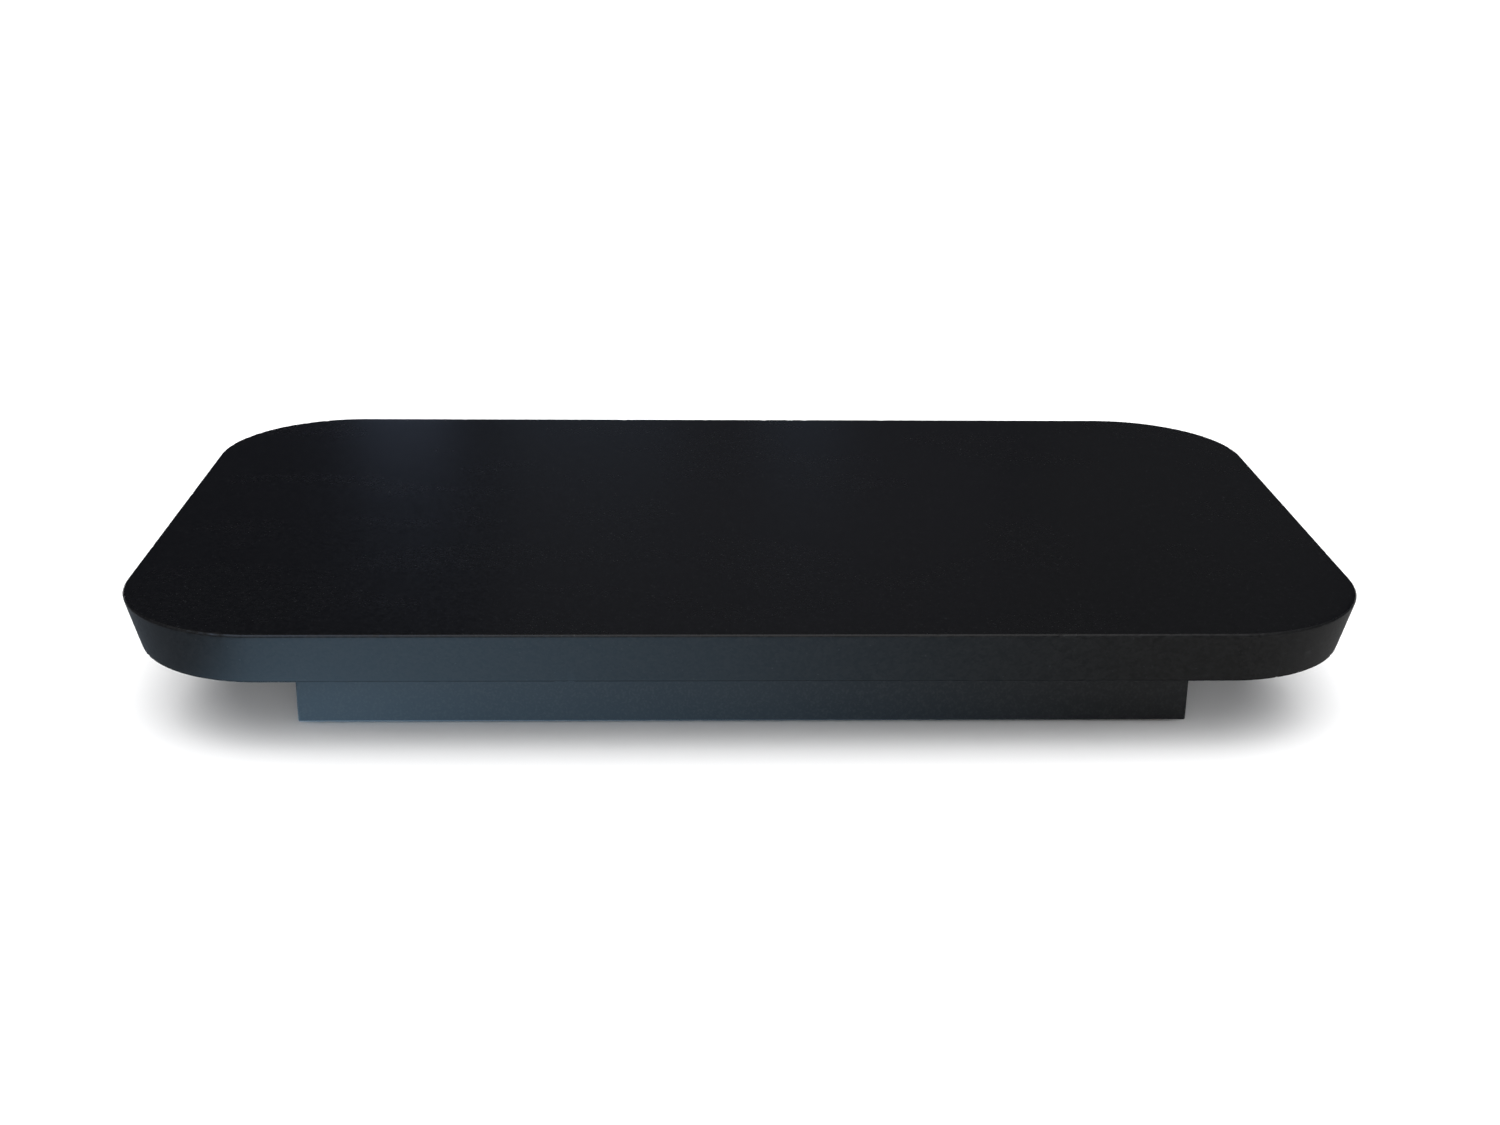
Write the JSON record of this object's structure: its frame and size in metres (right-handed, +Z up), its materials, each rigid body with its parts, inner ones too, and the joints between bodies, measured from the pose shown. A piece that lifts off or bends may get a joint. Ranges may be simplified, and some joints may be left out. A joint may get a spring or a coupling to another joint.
{
  "type": "granite tooling slab on plinth",
  "caption": "Black granite slab with rounded corners and undercut sides, a hard flat surface for tooling leather, resting on a recessed plinth.",
  "frame": {"origin": "on the bench, under the middle of the slab", "axes": "+X along the slab's length to the right, +Y to the back, +Z up"},
  "size_m": [0.65, 0.38, 0.072],
  "materials": {
    "granite": "honed black granite",
    "nylon": "natural nylon",
    "stainless": "ground stainless",
    "neoprene": "matte neoprene",
    "plywood": "raw birch plywood",
    "zinc_plated": "zinc plated",
    "black_painted_board": "satin black paint",
    "beech": "raw beech",
    "spline_ply": "raw plywood strip",
    "black_rubber": "matte moulded"
  },
  "bodies": {
    "plinth": {"locating_pin_left": "stainless", "locating_pin_right": "stainless", "damping_pad_front_1": "neoprene", "damping_pad_front_2": "neoprene", "damping_pad_front_3": "neoprene", "damping_pad_front_4": "neoprene", "damping_pad_front_5": "neoprene", "damping_pad_back_1": "neoprene", "damping_pad_back_2": "neoprene", "damping_pad_back_3": "neoprene", "damping_pad_back_4": "neoprene", "damping_pad_back_5": "neoprene", "sub_top": "plywood", "sub_top_screws": "zinc_plated", "plinth_board_front": "black_painted_board", "plinth_board_right": "black_painted_board", "plinth_board_back": "black_painted_board", "plinth_board_left": "black_painted_board", "cross_rail_left": "beech", "cross_rail_centre": "beech", "cross_rail_right": "beech", "corner_block_front_left": "beech", "corner_block_front_right": "beech", "corner_block_back_right": "beech", "corner_block_back_left": "beech", "mitre_spline_front_left": "spline_ply", "mitre_spline_front_right": "spline_ply", "mitre_spline_back_right": "spline_ply", "mitre_spline_back_left": "spline_ply", "block_screws": "zinc_plated", "foot_front_left": "black_rubber", "foot_front_right": "black_rubber", "foot_back_right": "black_rubber", "foot_back_left": "black_rubber", "foot_front_centre": "black_rubber", "foot_back_centre": "black_rubber", "foot_washers": "stainless", "foot_screws": "zinc_plated"},
    "slab": {"granite_slab": "granite", "pin_bush_left": "nylon", "pin_bush_right": "nylon"}
  },
  "joints": [
    {"name": "slab_lift", "type": "slide", "parent": "plinth", "child": "slab", "axis": [0, 0, 1], "range_m": [0, 0.06]}
  ]
}
